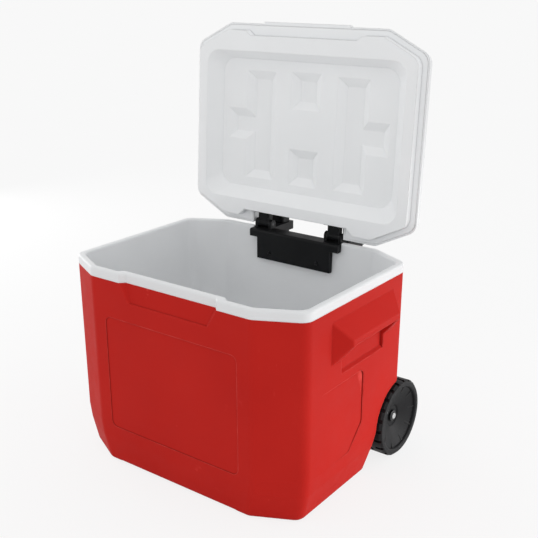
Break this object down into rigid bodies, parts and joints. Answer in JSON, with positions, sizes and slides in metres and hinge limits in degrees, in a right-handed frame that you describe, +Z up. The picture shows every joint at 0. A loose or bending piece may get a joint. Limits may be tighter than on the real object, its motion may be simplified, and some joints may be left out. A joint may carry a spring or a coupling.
{
  "type": "wheeled cooler",
  "caption": "Insulated picnic cooler on wheels: deep box with chamfered corners, hinged lid with a recessed liner, side carry grips, pull-up tow handle and side drain.",
  "frame": {"origin": "on the floor, at the middle of the cooler's length and depth with the lid standing open", "axes": "+Z up, the front with the finger notch faces -Y, +X to the right seen from the front"},
  "size_m": [0.564, 0.4604, 0.7737],
  "materials": {
    "red_plastic": "satin",
    "white_plastic": "satin",
    "black_plastic": "satin",
    "wheel_plastic": "matte",
    "steel": "satin",
    "foam": "matte",
    "rubber": "matte"
  },
  "bodies": {
    "cooler": {"outer_shell": "red_plastic", "inner_liner": "white_plastic", "foam_insulation": "foam", "hinge_saddle": "black_plastic", "saddle_screws": "steel", "hinge_pin_left": "steel", "hinge_pin_right": "steel", "handle_sleeve_left": "black_plastic", "handle_sleeve_right": "black_plastic", "handle_bracket": "black_plastic", "bracket_screws": "steel", "axle": "steel", "axle_washers": "steel", "push_nut_left": "steel", "push_nut_right": "steel", "drain_spout": "white_plastic", "drain_seal": "rubber", "drain_nut": "white_plastic"},
    "lid": {"lid_top": "white_plastic", "lid_pan": "white_plastic", "lid_foam": "foam", "hinge_leaf_left": "black_plastic", "hinge_leaf_right": "black_plastic", "leaf_screws": "steel"},
    "tow_handle": {"handle_post_left": "black_plastic", "handle_post_right": "black_plastic", "handle_grip": "black_plastic", "grip_pins": "steel"},
    "wheel_left": {"wheel_left": "wheel_plastic"},
    "wheel_right": {"wheel_right": "wheel_plastic"},
    "drain_plug": {"drain_plug": "white_plastic", "plug_seal": "rubber"}
  },
  "joints": [
    {"name": "lid_hinge", "type": "hinge", "parent": "cooler", "child": "lid", "pos_m": [0, 0.1543, 0.386], "axis": [1, 0, 0], "range_deg": [0, 93.5]},
    {"name": "handle_slide", "type": "slide", "parent": "cooler", "child": "tow_handle", "axis": [0, 0, 1], "range_m": [0, 0.25]},
    {"name": "wheel_left_spin", "type": "hinge", "parent": "cooler", "child": "wheel_left", "pos_m": [0, 0.1148, 0.073], "axis": [1, 0, 0], "continuous": true},
    {"name": "wheel_right_spin", "type": "hinge", "parent": "cooler", "child": "wheel_right", "pos_m": [0, 0.1148, 0.073], "axis": [1, 0, 0], "continuous": true},
    {"name": "drain_plug_pull", "type": "slide", "parent": "cooler", "child": "drain_plug", "axis": [-1, 0, 0], "range_m": [0, 0.014]}
  ]
}
